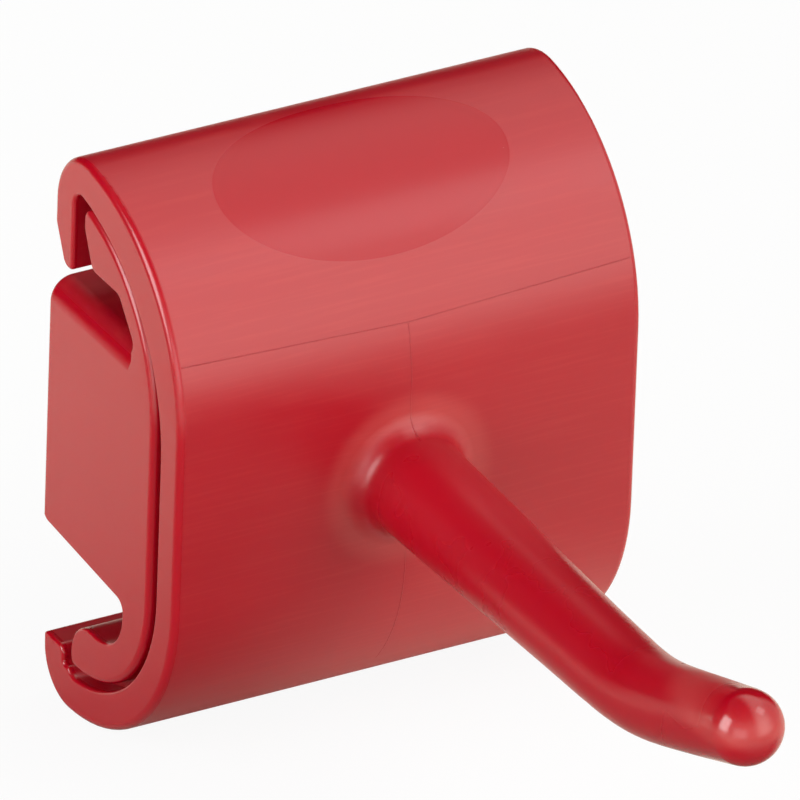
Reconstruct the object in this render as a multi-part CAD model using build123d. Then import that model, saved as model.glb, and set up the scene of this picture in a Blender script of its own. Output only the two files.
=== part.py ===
from build123d import *
from math import acos, cos, degrees, radians, sin, tan
import os

# A rail-mounted wall hook, moulded in one piece of plastic.
# Frame: X runs along the rail, the hook points to -Y, +Z is up.
# The origin is on the seat block's back, level with the middle of the flat front.
# Sizes are in millimetres. Section sizes are given as (out, up):
# out is the distance from the seat block's back, up is the height.

# Outer shell
module_width = 82.0
body_depth = 42.7
front_height = 30.7
shoulder_radius = 33.9
upper_nose_radius = 10.24
lower_nose_radius = 8.32
lip_setback = 1.2
shell_end_round = 1.3
shell_edge_round = 0.6

# Upper lip, hooked over the rail's top flange
upper_lip_thickness = 6.1
upper_lip_end_height = 28.0
upper_lip_toe_radius = 1.0
lead_in_width = 3.6
lead_in_height = 7.6
lead_in_radius = 2.0

# Slot for the top flange, between the upper lip and the inner arm
flange_slot_width = 3.5
flange_slot_tip_gap = 0.15
flange_slot_back_radius = 2.4
flange_slot_front_radius = 0.6
arm_tip_length = 4.3
arm_heel_radius = 2.0
arm_lean = 2.8
arm_toe_radius = 1.7
arm_tip_radius = 1.8

# Pockets above and below the seat block
upper_pocket_top = 31.4
upper_pocket_wall = 7.5
upper_pocket_step = 2.1
upper_pocket_slope_width = 4.7
upper_pocket_slope_radius = 2.0
lower_pocket_floor = 31.8
lower_pocket_wall = 8.15
lower_pocket_corner_radius = 8.6

# Seat block, which fills the rail's channel
block_top = 23.6
block_bottom_front = 21.5
block_bottom_back = 19.2
block_top_back_radius = 1.2
block_top_root_radius = 1.0
block_top_end_radius = 4.0
block_bottom_back_radius = 2.2
block_bottom_root_radius = 2.0

# Lower lip, and the narrow relief between it and the inner foot
lower_lip_thickness = 6.8
lower_lip_straight = 2.1
lower_lip_heel_radius = 1.7
lower_lip_toe_radius = 1.7
relief_width = 2.4
relief_depth = 2.9
relief_radius = 0.7
relief_root_radius = 0.7
foot_back_radius = 6.0
foot_under_radius = 2.0

# Seam in both ends, between the shell's inner edge and the inner body
seam_depth = 4.0
inner_end_round = 1.2
inner_edge_round = 0.5
shell_front_wall = 6.0
shell_top_wall = 6.05
shell_bottom_wall = 6.45
shell_upper_inner_radius = 33.7
shell_lower_inner_radius = 27.5
shell_toe_radius = 4.0
shell_slot_radius = 2.4
front_gap = 2.35
arm_gap = 0.9
foot_gap = 2.1
inner_upper_radius = 29.2
inner_lower_radius = 22.5

# Hook: a level tapered shank, a bend that grows and fades smoothly, and a rounded, upturned end
hook_height = -0.8
shank_length = 56.3
hook_bend_reach = 19.0
hook_bend_angle = 19.2
hook_end_length = 11.6
hook_root_radius = 8.5
hook_neck_radius = 7.1
hook_tip_radius = 6.1
hook_root_fillet = 3.5

# Cutters reach this far past the faces that they cut
overcut = 5.0
# A rounded corner takes at most this share of the wall that it lies on
corner_share = 0.95


def at(out, up):
    """A section point on the YZ plane, from its distance out and its height."""
    return (-out, up)


def nearest(vertices, out, up):
    """The section vertex closest to a point."""
    target = Vector(0, -out, up)
    return min(vertices, key=lambda vertex: (Vector(*vertex) - target).length)


def shoulder_sweep(nose_radius):
    """The angle that a shoulder turns through before it runs into its nose at the upright back."""
    nose_inset = lip_setback + nose_radius - (body_depth - shoulder_radius)
    return degrees(acos(nose_inset / (shoulder_radius - nose_radius)))


def nose_height(nose_radius):
    """The height of a nose's center above or below mid-height."""
    reach = shoulder_radius - nose_radius
    return front_height / 2 + reach * sin(radians(shoulder_sweep(nose_radius)))


def crown_height():
    """The height of the shoulders' crown above mid-height, and its depth below."""
    return front_height / 2 + shoulder_radius


def shell_arc_height(radius, wall):
    """The height of the axis of a shell's inner arc that leaves a wall under the crown."""
    return crown_height() - wall - radius


def inner_arc_height(radius, wall, gap):
    """The height of the axis of an inner body's arc that leaves a gap to the shell's inner edge."""
    return crown_height() - wall - gap - radius


def inner_front():
    """The distance out of the inner body's flat front."""
    return body_depth - shell_front_wall - front_gap


def upper_pocket_depth():
    """The depth of the pocket above the seat block, which leaves a wall behind the inner front."""
    return inner_front() - upper_pocket_wall


def lower_pocket_depth():
    """The depth of the pocket below the seat block, which leaves a wall behind the inner front."""
    return inner_front() - lower_pocket_wall


def arm_back():
    """The distance out of the inner arm's back, which is the slot's front."""
    return lip_setback + upper_lip_thickness + flange_slot_width


def foot_back():
    """The distance out of the inner foot's back, which is the relief's front."""
    return lip_setback + lower_lip_thickness + relief_width


def arm_turn():
    """The angle from level at which the inner body's upper arc meets the arm's back."""
    return degrees(acos((arm_back() - inner_front() + inner_upper_radius) / inner_upper_radius))


def foot_turn():
    """The angle from level at which the inner body's lower arc meets the foot's back."""
    return degrees(acos((foot_back() - inner_front() + inner_lower_radius) / inner_lower_radius))


def arm_top():
    """The height at which the inner body's upper arc meets the arm's back."""
    center = inner_arc_height(inner_upper_radius, shell_top_wall, arm_gap)
    return center + inner_upper_radius * sin(radians(arm_turn()))


def foot_bottom():
    """The depth at which the inner body's lower arc meets the foot's back."""
    center = inner_arc_height(inner_lower_radius, shell_bottom_wall, foot_gap)
    return center + inner_lower_radius * sin(radians(foot_turn()))


def lower_lip_top():
    """The depth of the lower lip's top, a short straight above its nose."""
    return nose_height(lower_nose_radius) - lower_lip_straight


def outer_section():
    """The shell's outline: a flat front, two shoulders, two noses and a flat back."""
    shoulder_out = body_depth - shoulder_radius
    upper_center = at(lip_setback + upper_nose_radius, nose_height(upper_nose_radius))
    lower_center = at(lip_setback + lower_nose_radius, -nose_height(lower_nose_radius))
    upper_sweep = shoulder_sweep(upper_nose_radius)
    lower_sweep = shoulder_sweep(lower_nose_radius)
    half = front_height / 2
    top_front = CenterArc(at(shoulder_out, half), shoulder_radius, 180 - upper_sweep, upper_sweep)
    top_back = CenterArc(upper_center, upper_nose_radius, 0, 180 - upper_sweep)
    bottom_front = CenterArc(at(shoulder_out, -half), shoulder_radius, 180, lower_sweep)
    bottom_back = CenterArc(lower_center, lower_nose_radius, 180 + lower_sweep, 180 - lower_sweep)
    front = Line(top_front @ 1, bottom_front @ 0)
    back = Line(bottom_back @ 1, top_back @ 0)
    return Plane.YZ * make_face([top_front, front, bottom_front, bottom_back, back, top_back])


def rounded_polygon(corners):
    """A face on the YZ plane from corners given as (out, up, radius)."""
    points = [at(out, up) for out, up, radius in corners]
    face = Plane.YZ * make_face(Polyline(*points, close=True))
    for out, up, radius in corners:
        if radius > 0:
            face = fillet(nearest(face.vertices(), out, up), radius)
    return face


def upper_rail_space():
    """The pocket over the seat block, and the flange slot in front of the upper lip."""
    slot_back = lip_setback + upper_lip_thickness
    slot_front = arm_back()
    slot_top = arm_top() + flange_slot_tip_gap
    slope_top = upper_pocket_depth() - upper_pocket_slope_width
    lead_in_slope = lead_in_height / lead_in_width
    lead_in_out = lip_setback + lead_in_width
    clear_of_lip = upper_lip_end_height + lead_in_slope * (lead_in_out + overcut)
    return rounded_polygon(
        [
            (-overcut, block_top, 0),
            (upper_pocket_depth(), block_top, block_top_root_radius),
            (upper_pocket_depth(), block_top + upper_pocket_step, upper_pocket_slope_radius),
            (slope_top, upper_pocket_top, upper_pocket_slope_radius),
            (slot_front + arm_lean, upper_pocket_top, arm_toe_radius),
            (slot_front, slot_top - arm_tip_length, arm_heel_radius),
            (slot_front, slot_top, flange_slot_front_radius),
            (slot_back, slot_top, flange_slot_back_radius),
            (slot_back, upper_lip_end_height, upper_lip_toe_radius),
            (lead_in_out, upper_lip_end_height, lead_in_radius),
            (-overcut, clear_of_lip, 0),
        ]
    )


def lower_rail_space():
    """The pocket under the seat block, and the relief in front of the lower lip."""
    relief_back = lip_setback + lower_lip_thickness
    relief_front = foot_back()
    relief_bottom = lower_lip_top() + relief_depth
    wall_height = lower_pocket_floor - block_bottom_front - block_bottom_root_radius
    wall_depth = lower_pocket_depth() - relief_front - foot_back_radius
    corner = min(lower_pocket_corner_radius, corner_share * min(wall_height, wall_depth))
    block_slope = (block_bottom_front - block_bottom_back) / lower_pocket_depth()
    return rounded_polygon(
        [
            (-overcut, block_slope * overcut - block_bottom_back, 0),
            (lower_pocket_depth(), -block_bottom_front, block_bottom_root_radius),
            (lower_pocket_depth(), -lower_pocket_floor, corner),
            (relief_front, -lower_pocket_floor, foot_back_radius),
            (relief_front, -relief_bottom, relief_root_radius),
            (relief_back, -relief_bottom, relief_radius),
            (relief_back, -lower_lip_top(), lower_lip_toe_radius),
            (-overcut, -lower_lip_top(), 0),
        ]
    )


def seat_zone_top():
    """A height between the seat block's top and the upper lip's end."""
    return (block_top + upper_lip_end_height) / 2


def seat_zone_bottom():
    """A height between the seat block's bottom and the lower lip's top."""
    return -(block_bottom_front + lower_lip_top()) / 2


def seat_zone(back, front):
    """A plain face that spans the seat block's height, clear of both lips."""
    top = seat_zone_top()
    bottom = seat_zone_bottom()
    return rounded_polygon([(back, bottom, 0), (front, bottom, 0), (front, top, 0), (back, top, 0)])


def body_section():
    """The whole section, with the corners along the back rounded."""
    filled = outer_section() + seat_zone(0, upper_pocket_depth())
    section = filled - upper_rail_space() - lower_rail_space()
    lower_heel = min(lower_lip_heel_radius, corner_share * lower_lip_straight)
    back_corners = [
        (lip_setback, upper_lip_end_height + lead_in_height, lead_in_radius),
        (0, block_top, block_top_back_radius),
        (0, -block_bottom_back, block_bottom_back_radius),
        (lip_setback, -lower_lip_top(), lower_heel),
    ]
    for out, up, radius in back_corners:
        section = fillet(nearest(section.vertices(), out, up), radius)
    return section


def shell_space():
    """The face inside the shell's inner edge, from the flange slot round the front to the relief."""
    front = body_depth - shell_front_wall
    upper_out = front - shell_upper_inner_radius
    lower_out = front - shell_lower_inner_radius
    slot_back = lip_setback + upper_lip_thickness
    toe_out = lip_setback + lower_lip_thickness + shell_toe_radius
    toe_reach = shell_lower_inner_radius - shell_toe_radius
    upper_turn = degrees(acos((slot_back - upper_out) / shell_upper_inner_radius))
    lower_turn = degrees(acos((toe_out - lower_out) / toe_reach))
    lower_height = shell_arc_height(shell_lower_inner_radius, shell_bottom_wall)
    toe_height = lower_height + toe_reach * sin(radians(lower_turn))
    upper_center = at(upper_out, shell_arc_height(shell_upper_inner_radius, shell_top_wall))
    lower_center = at(lower_out, -lower_height)
    upper = CenterArc(upper_center, shell_upper_inner_radius, 180 - upper_turn, upper_turn)
    lower = CenterArc(lower_center, shell_lower_inner_radius, 180, lower_turn)
    toe = CenterArc(at(toe_out, -toe_height), shell_toe_radius, 180 + lower_turn, 180 - lower_turn)
    straight = Line(upper @ 1, lower @ 0)
    closing = Polyline(toe @ 1, at(toe_out - shell_toe_radius, 0), at(slot_back, 0), upper @ 0)
    space = Plane.YZ * make_face([upper, straight, lower, toe, closing])
    space = fillet(space.vertices().sort_by(Axis.Z)[-1], shell_slot_radius)
    return space + seat_zone(-overcut, upper_pocket_depth())


def inner_outline():
    """The inner body without its pockets: clear of the shell, and closed at the seat block's back."""
    upper_out = inner_front() - inner_upper_radius
    lower_out = inner_front() - inner_lower_radius
    upper_center = at(upper_out, inner_arc_height(inner_upper_radius, shell_top_wall, arm_gap))
    lower_center = at(lower_out, -inner_arc_height(inner_lower_radius, shell_bottom_wall, foot_gap))
    upper = CenterArc(upper_center, inner_upper_radius, 180 - arm_turn(), arm_turn())
    lower = CenterArc(lower_center, inner_lower_radius, 180, foot_turn())
    straight = Line(upper @ 1, lower @ 0)
    closing = Polyline(
        lower @ 1,
        at(foot_back(), seat_zone_bottom()),
        at(0, seat_zone_bottom()),
        at(0, seat_zone_top()),
        at(arm_back(), seat_zone_top()),
        upper @ 0,
    )
    return Plane.YZ * make_face([upper, straight, lower, closing])


def inner_section():
    """The inner body's own section at the ends: arm, seat block and foot."""
    section = body_section() & inner_outline()
    foot_wall = foot_bottom() - lower_pocket_floor - foot_back_radius
    foot_room = foot_wall * tan(radians((180 - foot_turn()) / 2))
    foot_under = min(foot_under_radius, corner_share * foot_room)
    section = fillet(nearest(section.vertices(), arm_back(), arm_top()), arm_tip_radius)
    return fillet(nearest(section.vertices(), foot_back(), -foot_bottom()), foot_under)


def round_end(solid, radius):
    """Round every edge of the end face on the -X side."""
    return fillet(solid.faces().sort_by(Axis.X)[0].edges(), radius)


def end_stretch(section):
    """A section run along the seam's depth, from the -X end inwards."""
    return Pos(-module_width / 2, 0, 0) * extrude(section, amount=seam_depth, dir=(1, 0, 0))


def shell_end():
    """The shell's stretch beside the seam, with crisp inner edges and a softer outer rim."""
    ring = round_end(end_stretch(body_section() - shell_space()), shell_edge_round)
    return ring & round_end(end_stretch(outer_section()), shell_end_round)


def inner_end():
    """The inner body's stretch beside the seam, with crisp pocket edges and a softer front and back."""
    outline = end_stretch(inner_outline())
    end_edges = outline.faces().sort_by(Axis.X)[0].edges()
    by_depth = end_edges.sort_by(Axis.Y)
    soft_edges = end_edges.filter_by(GeomType.CIRCLE) + [by_depth[0], by_depth[-1]]
    softened = fillet(soft_edges, inner_end_round)
    return softened & round_end(end_stretch(inner_section()), inner_edge_round)


def block_end_cut():
    """What the seat block loses at its top end edge: a quarter-round that helps it into the rail."""
    axis_x = block_top_end_radius - module_width / 2
    axis_z = block_top - block_top_end_radius
    above = block_top_end_radius + block_top_root_radius
    reach = block_top_end_radius + overcut
    cornered = (Align.MAX, Align.MAX, Align.MIN)
    room = Box(reach, overcut + upper_pocket_depth(), above, align=cornered)
    room = Pos(axis_x, overcut, axis_z) * room
    below = rounded_polygon(
        [
            (0, axis_z, 0),
            (upper_pocket_depth() + overcut, axis_z, 0),
            (upper_pocket_depth() + overcut, block_top + overcut, 0),
            (upper_pocket_depth(), block_top + overcut, 0),
            (upper_pocket_depth(), block_top, block_top_root_radius),
            (0, block_top, block_top_back_radius),
        ]
    )
    turned = revolve(Pos(axis_x, 0, 0) * below, Axis((axis_x, 0, axis_z), (0, -1, 0)), 90)
    return room - turned


def body():
    """The section run along the rail, with a seam sunk into both ends around the inner body."""
    middle = extrude(body_section(), amount=module_width / 2 - seam_depth, dir=(-1, 0, 0))
    half = middle + shell_end() + inner_end() - block_end_cut()
    return half + mirror(half, about=Plane.YZ)


def hook():
    """A tapered round bar along -Y: level shank, upward bend, straight end and ball."""
    level = Vector(0, -1, 0)
    rising = Vector(0, -cos(radians(hook_bend_angle)), sin(radians(hook_bend_angle)))
    root_center = Vector(0, -body_depth, hook_height)
    start_center = root_center + level * shank_length
    corner = start_center + level * hook_bend_reach
    end_center = corner + rising * hook_bend_reach
    root = Plane(origin=root_center, x_dir=(1, 0, 0), z_dir=level)
    bend_start = Plane(origin=start_center, x_dir=(1, 0, 0), z_dir=level)
    bend_end = Plane(origin=end_center, x_dir=(1, 0, 0), z_dir=rising)
    bend_path = Bezier(start_center, corner, corner, end_center)
    taper = (hook_neck_radius - hook_tip_radius) / (bend_path.length + hook_end_length)
    bend_end_radius = hook_tip_radius + taper * hook_end_length
    seated = (Align.CENTER, Align.CENTER, Align.MIN)
    shank = root * Cone(hook_root_radius, hook_neck_radius, shank_length, align=seated)
    sections = [bend_start * Circle(hook_neck_radius), bend_end * Circle(bend_end_radius)]
    bend = sweep(sections, bend_path, multisection=True)
    end = bend_end * Cone(bend_end_radius, hook_tip_radius, hook_end_length, align=seated)
    ball = bend_end.offset(hook_end_length) * Sphere(hook_tip_radius)
    return shank + bend + end + ball


def hook_module():
    """Body and hook in one solid, with a fillet round the hook's root."""
    solid = body() + hook()
    root_center = Vector(0, -body_depth, hook_height)
    circles = solid.edges().filter_by(GeomType.CIRCLE)
    root_edge = min(circles, key=lambda edge: (edge.arc_center - root_center).length)
    return fillet(root_edge, hook_root_fillet)


os.makedirs("parts", exist_ok=True)
module = hook_module()
module.label = "hook_module"
export_step(module, "parts/hook_module.step")
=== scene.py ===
from math import cos, pi, radians, sin

import bmesh
import bpy
from mathutils import Matrix, Vector
from mathutils.geometry import interpolate_bezier

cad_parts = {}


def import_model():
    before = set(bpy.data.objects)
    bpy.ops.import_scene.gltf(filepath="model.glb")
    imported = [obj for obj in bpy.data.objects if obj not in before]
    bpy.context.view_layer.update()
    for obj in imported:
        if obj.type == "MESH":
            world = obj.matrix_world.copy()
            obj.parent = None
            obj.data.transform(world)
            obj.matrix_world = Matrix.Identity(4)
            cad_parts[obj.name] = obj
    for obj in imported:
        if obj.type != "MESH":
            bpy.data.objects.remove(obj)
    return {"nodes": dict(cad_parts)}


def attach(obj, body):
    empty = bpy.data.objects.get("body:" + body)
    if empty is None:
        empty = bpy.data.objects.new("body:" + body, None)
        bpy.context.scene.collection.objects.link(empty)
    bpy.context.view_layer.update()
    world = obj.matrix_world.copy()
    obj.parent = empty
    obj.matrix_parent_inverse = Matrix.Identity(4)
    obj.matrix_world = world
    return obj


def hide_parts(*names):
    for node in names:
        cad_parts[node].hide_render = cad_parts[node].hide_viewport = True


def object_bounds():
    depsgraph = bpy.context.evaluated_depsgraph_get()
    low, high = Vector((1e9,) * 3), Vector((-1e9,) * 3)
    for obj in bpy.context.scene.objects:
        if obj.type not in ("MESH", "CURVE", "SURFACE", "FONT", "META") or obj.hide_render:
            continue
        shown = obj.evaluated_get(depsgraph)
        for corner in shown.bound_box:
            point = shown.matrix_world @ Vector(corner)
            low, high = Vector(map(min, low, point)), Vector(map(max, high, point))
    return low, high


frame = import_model()
cad_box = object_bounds()

# Sizes of the moulding, in metres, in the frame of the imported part:
# X runs along the rail, the hook points to -Y and +Z is up.
half_width = 0.041
front_y = -0.0427
shoulder_radius = 0.0339
shoulder_axis_y = -0.0088
shoulder_axis_z = 0.01535
hook_axis_z = -0.0008
hook_root_radius = 0.0085
hook_tip_radius = 0.0061
shank_length = 0.0563
hook_bend_reach = 0.019
hook_bend_angle = radians(19.2)
hook_end_length = 0.0116
root_fillet_radius = 0.0035
ring_radius = hook_root_radius + root_fillet_radius
fillet_clearance = 0.0002
axis_steps = 60
join_distance = 2e-6
sharp_angle = radians(32)

# Mould lines: a shut-off line across the upper shoulder and the parting line at mid-width.
# The lower part of the parting line starts this offset, as part of a step, past the flat front.
shutoff_angle_middle = radians(18.5)
shutoff_angle_end = radians(21.1)
lower_line_angle = radians(-40.0)
lower_line_offset = 1e-3
mould_line_width = 0.00024
mould_line_step = 0.0006
mould_line_end_gap = 0.0012
shutoff_line_height = 0.00005
parting_line_height = 0.00003
bead_sides = 8
path_steps = 24

# Bare oval field on the upper shoulder
oval_angle = radians(61.5)
oval_half_width = 0.0255
oval_half_arc = radians(25.0)
oval_edge = 0.015
oval_back_reach = 0.003

# Where the finish changes: at the shut-off line, on the rims, on the hook and its tip, and around its root,
# where a pale highlight is also painted
upper_zone_edge = 0.004
rim_start = 0.0014
rim_full = 0.0006
hook_start = 0.001
hook_full = 0.006
tip_gloss_y = -0.145
tip_blur = 0.006
ring_core = 0.0002
ring_inner_blur = 0.0026
ring_outer_blur = 0.0040
ring_depth = 0.001

# Red plastic: its two reds, then colour, share and pattern of its streaks, colour and share of the painted
# highlight on the root ring, then its specks and mottle
red_dark = (0.355, 0.0006, 0.010, 1)
red_light = (0.39, 0.0016, 0.012, 1)
streak_colour = (0.62, 0.07, 0.06, 1)
streak_share = 0.10
streak_low = 0.45
streak_high = 0.75
streak_stretch = (60, 400, 1700)
streak_detail = 4.0
# A pale painted highlight on the fillet round the hook's root
ring_highlight_colour = (0.68, 0.16, 0.14, 1)
ring_highlight_share = 0.16
speck_colour = (0.85, 0.45, 0.40, 1)
speck_share = 0.4
speck_scale = 330.0
speck_pick = 0.955
speck_radius = 0.055
speck_core = 0.03
mottle_scale = 55.0
mottle_detail = 3.0
grain_scale = 2600.0
grain_detail = 2.0

# Roughness of the plastic, and how much each zone or pattern adds to it
plain_roughness = 0.16
mottle_roughness = 0.05
shell_roughness = 0.12
hook_roughness = -0.03
tip_roughness = -0.16
upper_roughness = 0.03
oval_roughness = -0.08
ring_roughness = 0.12
streak_roughness = 0.08

# Relief of the finish: shares of each pattern in a bump that is far finer than any shape
streak_relief = 0.40
grain_relief = 0.25
mottle_relief = 0.3
speck_relief = 0.5
bump_strength = 0.22
bump_distance = 0.00006

# How the plastic reflects, and how far red light spreads in it
refraction = 1.5
shine = 0.6
oval_shine = -0.22
spread_share = 0.30
spread_colours = (1.0, 0.06, 0.05)
spread_distance = 0.0022

# Camera: where it stands, seen from the middle of the flat front
view_azimuth = radians(30.2208)
view_elevation = radians(29.5615)
view_roll = radians(2.0625)
view_distance = 4.049
view_width = 0.124049
aim_point = Vector((0.0, front_y, 0.0))
centre_right_of_aim = -0.0012948
centre_above_aim = 0.0113877
sensor_width = 36.0
nearest_view = 0.1
farthest_view = 20.0

# Stage: a floor that is white to the camera; in reflections it shows painted light and shade, dark near the
# front left and far behind
floor_gap = 0.0002
floor_z = cad_box[0].z - floor_gap
floor_half_size = 1.2
floor_edge_y = -0.06
floor_edge_slant = 1.3
floor_edge_blur = 0.05
floor_back_start = -0.05
floor_back_full = 0.05
floor_near = 0.17
floor_far = 0.27
floor_seen_colour = (0.76, 0.78, 0.82, 1)
# Painted light and shade on the floor: a pale tone near the back, a bright one to the right, a dark one in
# front
floor_back_painted_light = (0.69, 0.64, 0.57, 1)
floor_right_painted_light = (0.97, 0.92, 0.84, 1)
floor_front_painted_shade = (0.22, 0.215, 0.20, 1)
floor_whiteness = 0.92

# Room light: an even level that falls overhead and grows in front, a bright strip of sky to the right,
# and a dark low back. Places in the sky are parts of a direction of length 1.
white = (1, 1, 1, 1)
room_colour = (1.0, 0.96, 0.86, 1)
room_level = 0.78
strip_x = 0.46
strip_outer = 0.5
strip_inner = 0.12
strip_level = 1.65
overhead_start = 0.35
overhead_full = 0.85
overhead_loss = 0.75
front_start = -0.20
front_full = -0.75
front_gain = 0.35
back_start = 0.20
back_full = 0.50
low_start = 0.80
low_full = 0.62
dark_share = 0.985


def add_node(tree, kind, sockets=(), **settings):
    """Add a node, set its properties, and set or link its inputs from (socket, value) pairs."""
    node = tree.nodes.new(kind)
    for name, value in settings.items():
        setattr(node, name, value)
    for socket, value in sockets:
        if isinstance(value, bpy.types.NodeSocket):
            tree.links.new(value, node.inputs[socket])
        else:
            node.inputs[socket].default_value = value
    return node


def calculate(tree, operation, *values):
    """A Math node's output, from numbers or sockets."""
    return add_node(tree, "ShaderNodeMath", enumerate(values), operation=operation).outputs[0]


def product(tree, first, second):
    """Two values multiplied."""
    return calculate(tree, "MULTIPLY", first, second)


def rest_of(tree, share):
    """What a share leaves of 1."""
    return calculate(tree, "SUBTRACT", 1.0, share)


def add_up(tree, start, changes):
    """The start plus each (mask, change) pair's change, as far as its mask goes."""
    total = start
    for mask, change in changes:
        total = calculate(tree, "MULTIPLY_ADD", mask, change, total)
    return total


def smooth_step(tree, value, low, high):
    """0 below low, 1 above high, with a smooth rise between; low may lie above high."""
    sockets = [("Value", value), ("From Min", low), ("From Max", high)]
    node = add_node(tree, "ShaderNodeMapRange", sockets, interpolation_type="SMOOTHSTEP")
    return node.outputs["Result"]


def noise(tree, coordinates, scale, detail, stretch=(1, 1, 1)):
    """Noise from 0 to 1, with its pattern squeezed along each axis by the stretch."""
    mapping = add_node(tree, "ShaderNodeMapping", [("Vector", coordinates), ("Scale", stretch)])
    sockets = [("Vector", mapping.outputs[0]), ("Scale", scale), ("Detail", detail)]
    return add_node(tree, "ShaderNodeTexNoise", sockets).outputs["Fac"]


def mix_colours(tree, share, first, second):
    """A blend of two colours."""
    node = add_node(tree, "ShaderNodeMix", data_type="RGBA")
    for index, value in ((0, share), (6, first), (7, second)):
        if isinstance(value, bpy.types.NodeSocket):
            tree.links.new(value, node.inputs[index])
        else:
            node.inputs[index].default_value = value
    return node.outputs[2]


def new_material(name):
    """An empty node material and its tree."""
    material = bpy.data.materials.new(name)
    material.use_nodes = True
    material.node_tree.nodes.clear()
    return material, material.node_tree


def link_piece(name, data):
    """A new object in the scene that holds a mesh, curve, camera or lamp."""
    piece = bpy.data.objects.new(name, data)
    bpy.context.scene.collection.objects.link(piece)
    return piece


def red_plastic():
    """Satin red plastic with flow streaks, specks, the finish marks of its mould and a painted highlight
    round the hook's root.
    """
    material, tree = new_material("red_plastic")
    place = add_node(tree, "ShaderNodeTexCoord").outputs["Object"]
    x, y, z = add_node(tree, "ShaderNodeSeparateXYZ", [("Vector", place)]).outputs

    # How far round the shoulder a point lies, from the flat front upwards
    rise = calculate(tree, "SUBTRACT", z, shoulder_axis_z)
    reach = calculate(tree, "SUBTRACT", shoulder_axis_y, y)
    angle = calculate(tree, "ARCTAN2", rise, reach)
    sideways = calculate(tree, "ABSOLUTE", x)

    # 1 above the shut-off line, where the mould was left a little rougher
    slope = (shutoff_angle_end - shutoff_angle_middle) / half_width
    line_angle = calculate(tree, "MULTIPLY_ADD", sideways, slope, shutoff_angle_middle)
    above = calculate(tree, "SUBTRACT", angle, line_angle)
    upper_zone = smooth_step(tree, above, -upper_zone_edge, upper_zone_edge)

    # 1 inside the bare oval
    across = calculate(tree, "DIVIDE", x, oval_half_width)
    along = calculate(tree, "DIVIDE", calculate(tree, "SUBTRACT", angle, oval_angle), oval_half_arc)
    squares = calculate(tree, "MULTIPLY_ADD", across, across, product(tree, along, along))
    outside_shell = smooth_step(tree, reach, -oval_back_reach, 0.0)
    oval = product(tree, smooth_step(tree, squares, 1 + oval_edge, 1 - oval_edge), outside_shell)

    # 1 on the ring where the hook's root runs into the front
    hook_rise = calculate(tree, "SUBTRACT", z, hook_axis_z)
    distance_squared = calculate(tree, "MULTIPLY_ADD", x, x, product(tree, hook_rise, hook_rise))
    from_axis = calculate(tree, "SQRT", distance_squared)
    ring_inside = smooth_step(tree, from_axis, ring_radius - ring_inner_blur, ring_radius - ring_core)
    ring_outside = smooth_step(tree, from_axis, ring_radius + ring_outer_blur, ring_radius + ring_core)
    ring_front = smooth_step(tree, y, front_y + ring_depth, front_y + ring_core)
    root_ring = product(tree, product(tree, ring_inside, ring_outside), ring_front)

    # 1 between the rims, on the hook and on its tip
    on_shell = smooth_step(tree, sideways, half_width - rim_full, half_width - rim_start)
    on_hook = smooth_step(tree, y, front_y - hook_start, front_y - hook_full)
    on_tip = smooth_step(tree, y, tip_gloss_y + tip_blur, tip_gloss_y)

    # Flow streaks run along the rail, thin in height; the oval and the hook have none
    smoother = calculate(tree, "MAXIMUM", oval, on_hook)
    streaked = product(tree, on_shell, rest_of(tree, smoother))
    streaks = product(tree, noise(tree, place, 1.0, streak_detail, streak_stretch), streaked)
    mottle = noise(tree, place, mottle_scale, mottle_detail)
    grain = noise(tree, place, grain_scale, grain_detail)

    # Pale specks: a few of the cells of a fine pattern hold one
    cells = add_node(tree, "ShaderNodeTexVoronoi", [("Vector", place), ("Scale", speck_scale)])
    cell_pick = add_node(tree, "ShaderNodeSeparateColor", [("Color", cells.outputs["Color"])])
    chosen = calculate(tree, "GREATER_THAN", cell_pick.outputs[0], speck_pick)
    dot = smooth_step(tree, cells.outputs["Distance"], speck_radius, speck_core)
    speck = product(tree, chosen, dot)

    base = mix_colours(tree, mottle, red_dark, red_light)
    clear_streaks = smooth_step(tree, streaks, streak_low, streak_high)
    base = mix_colours(tree, product(tree, clear_streaks, streak_share), base, streak_colour)
    # Painted highlight: the root ring is paled as if it caught a softbox on its fillet
    base = mix_colours(tree, product(tree, root_ring, ring_highlight_share), base, ring_highlight_colour)
    base = mix_colours(tree, product(tree, speck, speck_share), base, speck_colour)

    rough = add_up(tree, plain_roughness, [
        (mottle, mottle_roughness),
        (on_shell, shell_roughness),
        (on_hook, hook_roughness),
        (on_tip, tip_roughness),
        (upper_zone, upper_roughness),
        (oval, oval_roughness),
        (root_ring, ring_roughness),
        (streaks, streak_roughness),
    ])
    relief = add_up(tree, 0.0, [
        (streaks, streak_relief),
        (grain, grain_relief),
        (mottle, mottle_relief),
        (speck, speck_relief),
    ])
    bump = add_node(tree, "ShaderNodeBump", [
        ("Strength", bump_strength),
        ("Distance", bump_distance),
        ("Height", relief),
    ])
    shader = add_node(tree, "ShaderNodeBsdfPrincipled", [
        ("Base Color", base),
        ("Roughness", rough),
        ("IOR", refraction),
        ("Specular IOR Level", add_up(tree, shine, [(oval, oval_shine)])),
        ("Subsurface Weight", spread_share),
        ("Subsurface Radius", spread_colours),
        ("Subsurface Scale", spread_distance),
        ("Normal", bump.outputs[0]),
    ])
    add_node(tree, "ShaderNodeOutputMaterial", [("Surface", shader.outputs[0])])
    return material


def plain_mesh(holder, name):
    """The holder's evaluated mesh as a mesh of its own."""
    bpy.context.view_layer.update()
    evaluated = holder.evaluated_get(bpy.context.evaluated_depsgraph_get())
    mesh = bpy.data.meshes.new_from_object(evaluated)
    mesh.name = name
    return mesh


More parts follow.
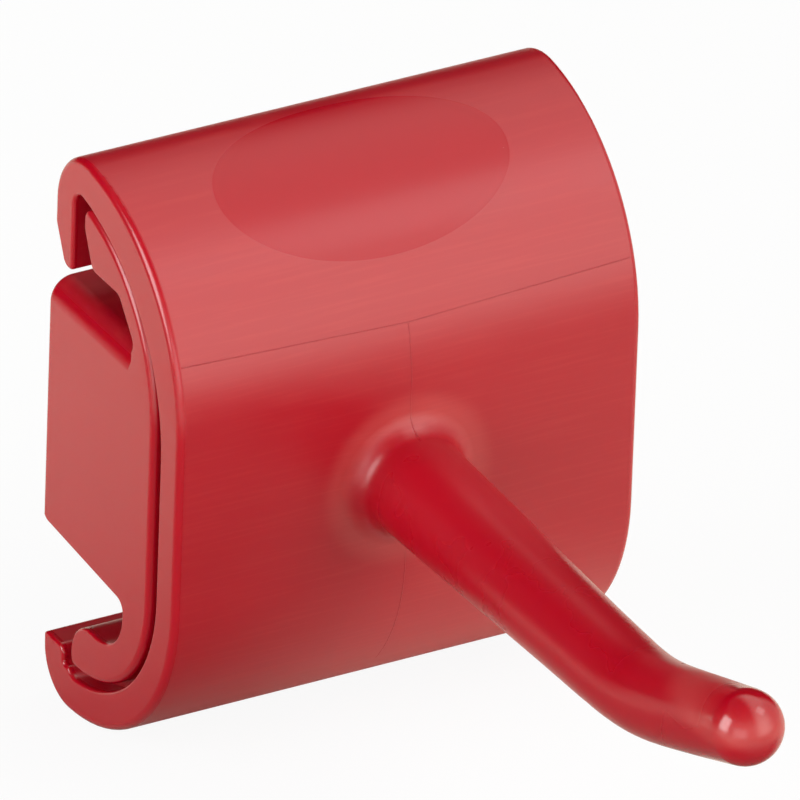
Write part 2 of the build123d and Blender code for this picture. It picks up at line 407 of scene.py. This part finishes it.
def hook_axis():
    """Points along the hook's axis, from its root to the centre of its round tip."""
    root = Vector((0, front_y, hook_axis_z))
    rising = Vector((0, -cos(hook_bend_angle), sin(hook_bend_angle)))
    start = root + Vector((0, -shank_length, 0))
    corner = start + Vector((0, -hook_bend_reach, 0))
    end = corner + hook_bend_reach * rising
    tip = end + hook_end_length * rising
    bend = interpolate_bezier(start, corner, corner, end, axis_steps)
    shank = [root.lerp(start, step / axis_steps) for step in range(axis_steps)]
    straight = [end.lerp(tip, (step + 1) / axis_steps) for step in range(axis_steps)]
    return shank + bend + straight


def hook_normals(mesh):
    """The mesh's corner normals, with the round hook's own ones in place of its facets'."""
    normals = [Vector(corner.vector) for corner in mesh.corner_normals]
    axis = hook_axis()
    root_side = front_y - root_fillet_radius - fillet_clearance
    tip_reach = (axis[-1] - axis[0]).length
    taper = (hook_root_radius - hook_tip_radius) / tip_reach
    for loop in mesh.loops:
        point = mesh.vertices[loop.vertex_index].co
        if point.y > root_side:
            continue
        index = min(range(len(axis)), key=lambda step: (axis[step] - point).length_squared)
        before, after = axis[max(index - 1, 0)], axis[min(index + 1, len(axis) - 1)]
        along = (after - before).normalized()
        out = point - axis[index]
        if index < len(axis) - 1:
            out = (out - out.dot(along) * along).normalized() + taper * along
        normals[loop.index] = out.normalized()
    return normals


def moulding(material):
    """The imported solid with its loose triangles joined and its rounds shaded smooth."""
    mesh = frame["nodes"]["hook_module"].data.copy()
    mesh.name = "moulding"
    joined = bmesh.new()
    joined.from_mesh(mesh)
    bmesh.ops.remove_doubles(joined, verts=joined.verts, dist=join_distance)
    joined.to_mesh(mesh)
    joined.free()
    mesh.shade_smooth()
    mesh.set_sharp_from_angle(angle=sharp_angle)
    mesh.materials.clear()
    mesh.materials.append(material)
    piece = link_piece("moulding", mesh)
    weighted = piece.modifiers.new("weighted", "WEIGHTED_NORMAL")
    weighted.keep_sharp = True
    smooth = plain_mesh(piece, "moulding")
    smooth.normals_split_custom_set(hook_normals(smooth))
    piece.modifiers.clear()
    piece.data = smooth
    return piece


def on_shoulder(x, angle, axis_z, depth):
    """A point a little under the surface of the shoulder whose axis lies at this height."""
    radius = shoulder_radius - depth
    return Vector((x, shoulder_axis_y - radius * cos(angle), axis_z + radius * sin(angle)))


def shutoff_path(depth):
    """The shut-off line: a shallow V across the upper shoulder, lowest at mid-width."""
    reach = half_width - mould_line_end_gap
    points = []
    for step in range(-path_steps, path_steps + 1):
        x = reach * step / path_steps
        angle = shutoff_angle_middle + (shutoff_angle_end - shutoff_angle_middle) * abs(x) / half_width
        points.append(on_shoulder(x, angle, shoulder_axis_z, depth))
    return points


def upper_parting_path(depth):
    """The parting line from the V down the front and over the fillet of the hook's root."""
    points = []
    for step in range(path_steps):
        angle = shutoff_angle_middle * (1 - step / path_steps)
        points.append(on_shoulder(0, angle, shoulder_axis_z, depth))
    fillet_axis_y = front_y - root_fillet_radius
    fillet_axis_z = hook_axis_z + ring_radius
    radius = root_fillet_radius + depth
    for step in range(path_steps + 1):
        turn = 0.5 * pi * step / path_steps
        points.append(Vector((0, fillet_axis_y + radius * cos(turn), fillet_axis_z - radius * sin(turn))))
    return points


def lower_parting_path(depth):
    """The parting line below the hook, from the root's fillet round the lower shoulder."""
    points = [Vector((0, front_y + depth, hook_axis_z - ring_radius))]
    for step in range(path_steps + 1):
        angle = lower_line_angle * (step + lower_line_offset) / path_steps
        points.append(on_shoulder(0, angle, -shoulder_axis_z, depth))
    return points


def bead_nodes():
    """A node group that lays a thin round bead along curves, and the identifiers of its inputs."""
    group = bpy.data.node_groups.new("bead along a path", "GeometryNodeTree")
    group.interface.new_socket("Paths", in_out="INPUT", socket_type="NodeSocketGeometry")
    width = group.interface.new_socket("Width", in_out="INPUT", socket_type="NodeSocketFloat")
    step = group.interface.new_socket("Step", in_out="INPUT", socket_type="NodeSocketFloat")
    material = group.interface.new_socket("Material", in_out="INPUT", socket_type="NodeSocketMaterial")
    group.interface.new_socket("Bead", in_out="OUTPUT", socket_type="NodeSocketGeometry")
    given = add_node(group, "NodeGroupInput").outputs
    spacing = [("Curve", given["Paths"]), ("Length", given["Step"])]
    even = add_node(group, "GeometryNodeResampleCurve", spacing, mode="LENGTH")
    profile = add_node(group, "GeometryNodeCurvePrimitiveCircle", [
        ("Resolution", bead_sides),
        ("Radius", product(group, given["Width"], 0.5)),
    ])
    swept = add_node(group, "GeometryNodeCurveToMesh", [
        ("Curve", even.outputs[0]),
        ("Profile Curve", profile.outputs[0]),
        ("Fill Caps", True),
    ])
    smooth = add_node(group, "GeometryNodeSetShadeSmooth", [("Geometry", swept.outputs[0])])
    real = add_node(group, "GeometryNodeRealizeInstances", [("Geometry", smooth.outputs[0])])
    painted = add_node(group, "GeometryNodeSetMaterial", [
        ("Geometry", real.outputs[0]),
        ("Material", given["Material"]),
    ])
    add_node(group, "NodeGroupOutput", [("Bead", painted.outputs[0])])
    return group, width.identifier, step.identifier, material.identifier


def mould_lines(material):
    """The fine ridges that the mould's halves leave: the shut-off line and the parting line."""
    shutoff_depth = 0.5 * mould_line_width - shutoff_line_height
    parting_depth = 0.5 * mould_line_width - parting_line_height
    paths = [
        shutoff_path(shutoff_depth),
        upper_parting_path(parting_depth),
        lower_parting_path(parting_depth),
    ]
    curve = bpy.data.curves.new("mould_lines", "CURVE")
    curve.dimensions = "3D"
    for path in paths:
        spline = curve.splines.new("POLY")
        spline.points.add(len(path) - 1)
        for point, place in zip(spline.points, path):
            point.co = (*place, 1.0)
    holder = link_piece("mould_line_paths", curve)
    group, width, step, paint = bead_nodes()
    modifier = holder.modifiers.new("bead", "NODES")
    modifier.node_group = group
    modifier[width] = mould_line_width
    modifier[step] = mould_line_step
    modifier[paint] = material
    mesh = plain_mesh(holder, "mould_lines")
    bpy.data.objects.remove(holder)
    return link_piece("mould_lines", mesh)


def camera():
    """The photograph's view: from the left, above and far away, a little rolled."""
    back = Vector((
        -sin(view_azimuth) * cos(view_elevation),
        -cos(view_azimuth) * cos(view_elevation),
        sin(view_elevation),
    ))
    level_right = Vector((cos(view_azimuth), -sin(view_azimuth), 0))
    level_up = back.cross(level_right)
    right = cos(view_roll) * level_right + sin(view_roll) * level_up
    up = cos(view_roll) * level_up - sin(view_roll) * level_right
    target = aim_point + centre_right_of_aim * right + centre_above_aim * up
    data = bpy.data.cameras.new("camera")
    data.sensor_width = sensor_width
    data.lens = sensor_width * view_distance / view_width
    data.clip_start = nearest_view
    data.clip_end = farthest_view
    holder = link_piece("camera", data)
    turn = Matrix((right, up, back)).transposed()
    holder.matrix_world = Matrix.Translation(target + view_distance * back) @ turn.to_4x4()
    bpy.context.scene.camera = holder


def softbox(name, place, target, width, height, power):
    """A soft rectangular lamp that faces a target."""
    data = bpy.data.lights.new(name, "AREA")
    data.shape = "RECTANGLE"
    data.size = width
    data.size_y = height
    data.energy = power
    holder = link_piece(name, data)
    direction = Vector(target) - Vector(place)
    turn = direction.to_track_quat("-Z", "Y").to_matrix().to_4x4()
    holder.matrix_world = Matrix.Translation(place) @ turn


def floor():
    """A floor that is white to the camera and keeps the shadow; reflections see it in three tones of painted
    light and shade.
    """
    material, tree = new_material("white_floor")
    place = add_node(tree, "ShaderNodeTexCoord").outputs["Object"]
    x, y, z = add_node(tree, "ShaderNodeSeparateXYZ", [("Vector", place)]).outputs
    slanted = calculate(tree, "MULTIPLY_ADD", x, floor_edge_slant, y)
    right_side = smooth_step(tree, slanted, floor_edge_y - floor_edge_blur, floor_edge_y + floor_edge_blur)
    back_side = smooth_step(tree, y, floor_back_start, floor_back_full)
    distance = add_node(tree, "ShaderNodeVectorMath", [(0, place)], operation="LENGTH").outputs["Value"]
    near = smooth_step(tree, distance, floor_far, floor_near)
    far_front = product(tree, rest_of(tree, near), rest_of(tree, back_side))
    bright = calculate(tree, "MAXIMUM", right_side, far_front)
    near_back = product(tree, back_side, near)
    # Painted light and shade for reflections: pale near the back, bright to the right and far in front, dark
    # elsewhere
    colour = mix_colours(tree, near_back, floor_front_painted_shade, floor_back_painted_light)
    colour = mix_colours(tree, bright, colour, floor_right_painted_light)
    seen = add_node(tree, "ShaderNodeLightPath").outputs["Is Camera Ray"]
    colour = mix_colours(tree, seen, colour, floor_seen_colour)
    paint = add_node(tree, "ShaderNodeBsdfDiffuse", [("Color", colour)])
    glow = add_node(tree, "ShaderNodeEmission", [("Color", white), ("Strength", 1.0)])
    share = product(tree, seen, floor_whiteness)
    blend = add_node(tree, "ShaderNodeMixShader", [(0, share), (1, paint.outputs[0]), (2, glow.outputs[0])])
    add_node(tree, "ShaderNodeOutputMaterial", [("Surface", blend.outputs[0])])
    corners = [(-1, -1), (1, -1), (1, 1), (-1, 1)]
    points = [(floor_half_size * across, floor_half_size * along, floor_z) for across, along in corners]
    mesh = bpy.data.meshes.new("floor")
    mesh.from_pydata(points, [], [(0, 1, 2, 3)])
    mesh.materials.append(material)
    piece = link_piece("floor", mesh)


def world():
    """A white room for the camera; for the light a pale one with a bright strip and a dark low back."""
    room = bpy.data.worlds.new("room")
    bpy.context.scene.world = room
    room.use_nodes = True
    tree = room.node_tree
    tree.nodes.clear()
    direction = add_node(tree, "ShaderNodeTexCoord").outputs["Generated"]
    x, y, z = add_node(tree, "ShaderNodeSeparateXYZ", [("Vector", direction)]).outputs
    off_strip = calculate(tree, "ABSOLUTE", calculate(tree, "SUBTRACT", x, strip_x))
    strip = smooth_step(tree, off_strip, strip_outer, strip_inner)
    overhead = product(tree, smooth_step(tree, z, overhead_start, overhead_full), overhead_loss)
    even = product(tree, rest_of(tree, overhead), room_level)
    pale = add_up(tree, even, [(strip, strip_level)])
    far_back = smooth_step(tree, y, back_start, back_full)
    low = smooth_step(tree, z, low_start, low_full)
    dark = product(tree, product(tree, far_back, low), dark_share)
    front = product(tree, smooth_step(tree, y, front_start, front_full), front_gain)
    level = product(tree, pale, rest_of(tree, dark))
    level = product(tree, level, calculate(tree, "ADD", 1.0, front))
    light = add_node(tree, "ShaderNodeBackground", [("Color", room_colour), ("Strength", level)])
    blank = add_node(tree, "ShaderNodeBackground", [("Color", white), ("Strength", 1.0)])
    seen = add_node(tree, "ShaderNodeLightPath").outputs["Is Camera Ray"]
    blend = add_node(tree, "ShaderNodeMixShader", [(0, seen), (1, light.outputs[0]), (2, blank.outputs[0])])
    add_node(tree, "ShaderNodeOutputWorld", [("Surface", blend.outputs[0])])


plastic = red_plastic()
body = moulding(plastic)
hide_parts("hook_module")
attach(body, "root")

lines = mould_lines(plastic)
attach(lines, "root")

camera()
floor()
world()
softbox("top_softbox", place=(0.5, -0.45, 0.78), target=(0, -0.05, 0.02), width=0.35, height=0.35, power=0.8)
softbox("left_softbox", place=(-0.7, -0.05, 0.25), target=(0, -0.05, 0), width=0.4, height=0.5, power=3.9)
softbox("front_left_fill", place=(-0.5, -0.65, 0.06), target=(0, -0.05, 0), width=0.5, height=0.4, power=1.0)

scene = bpy.context.scene
scene.view_settings.view_transform = "Standard"
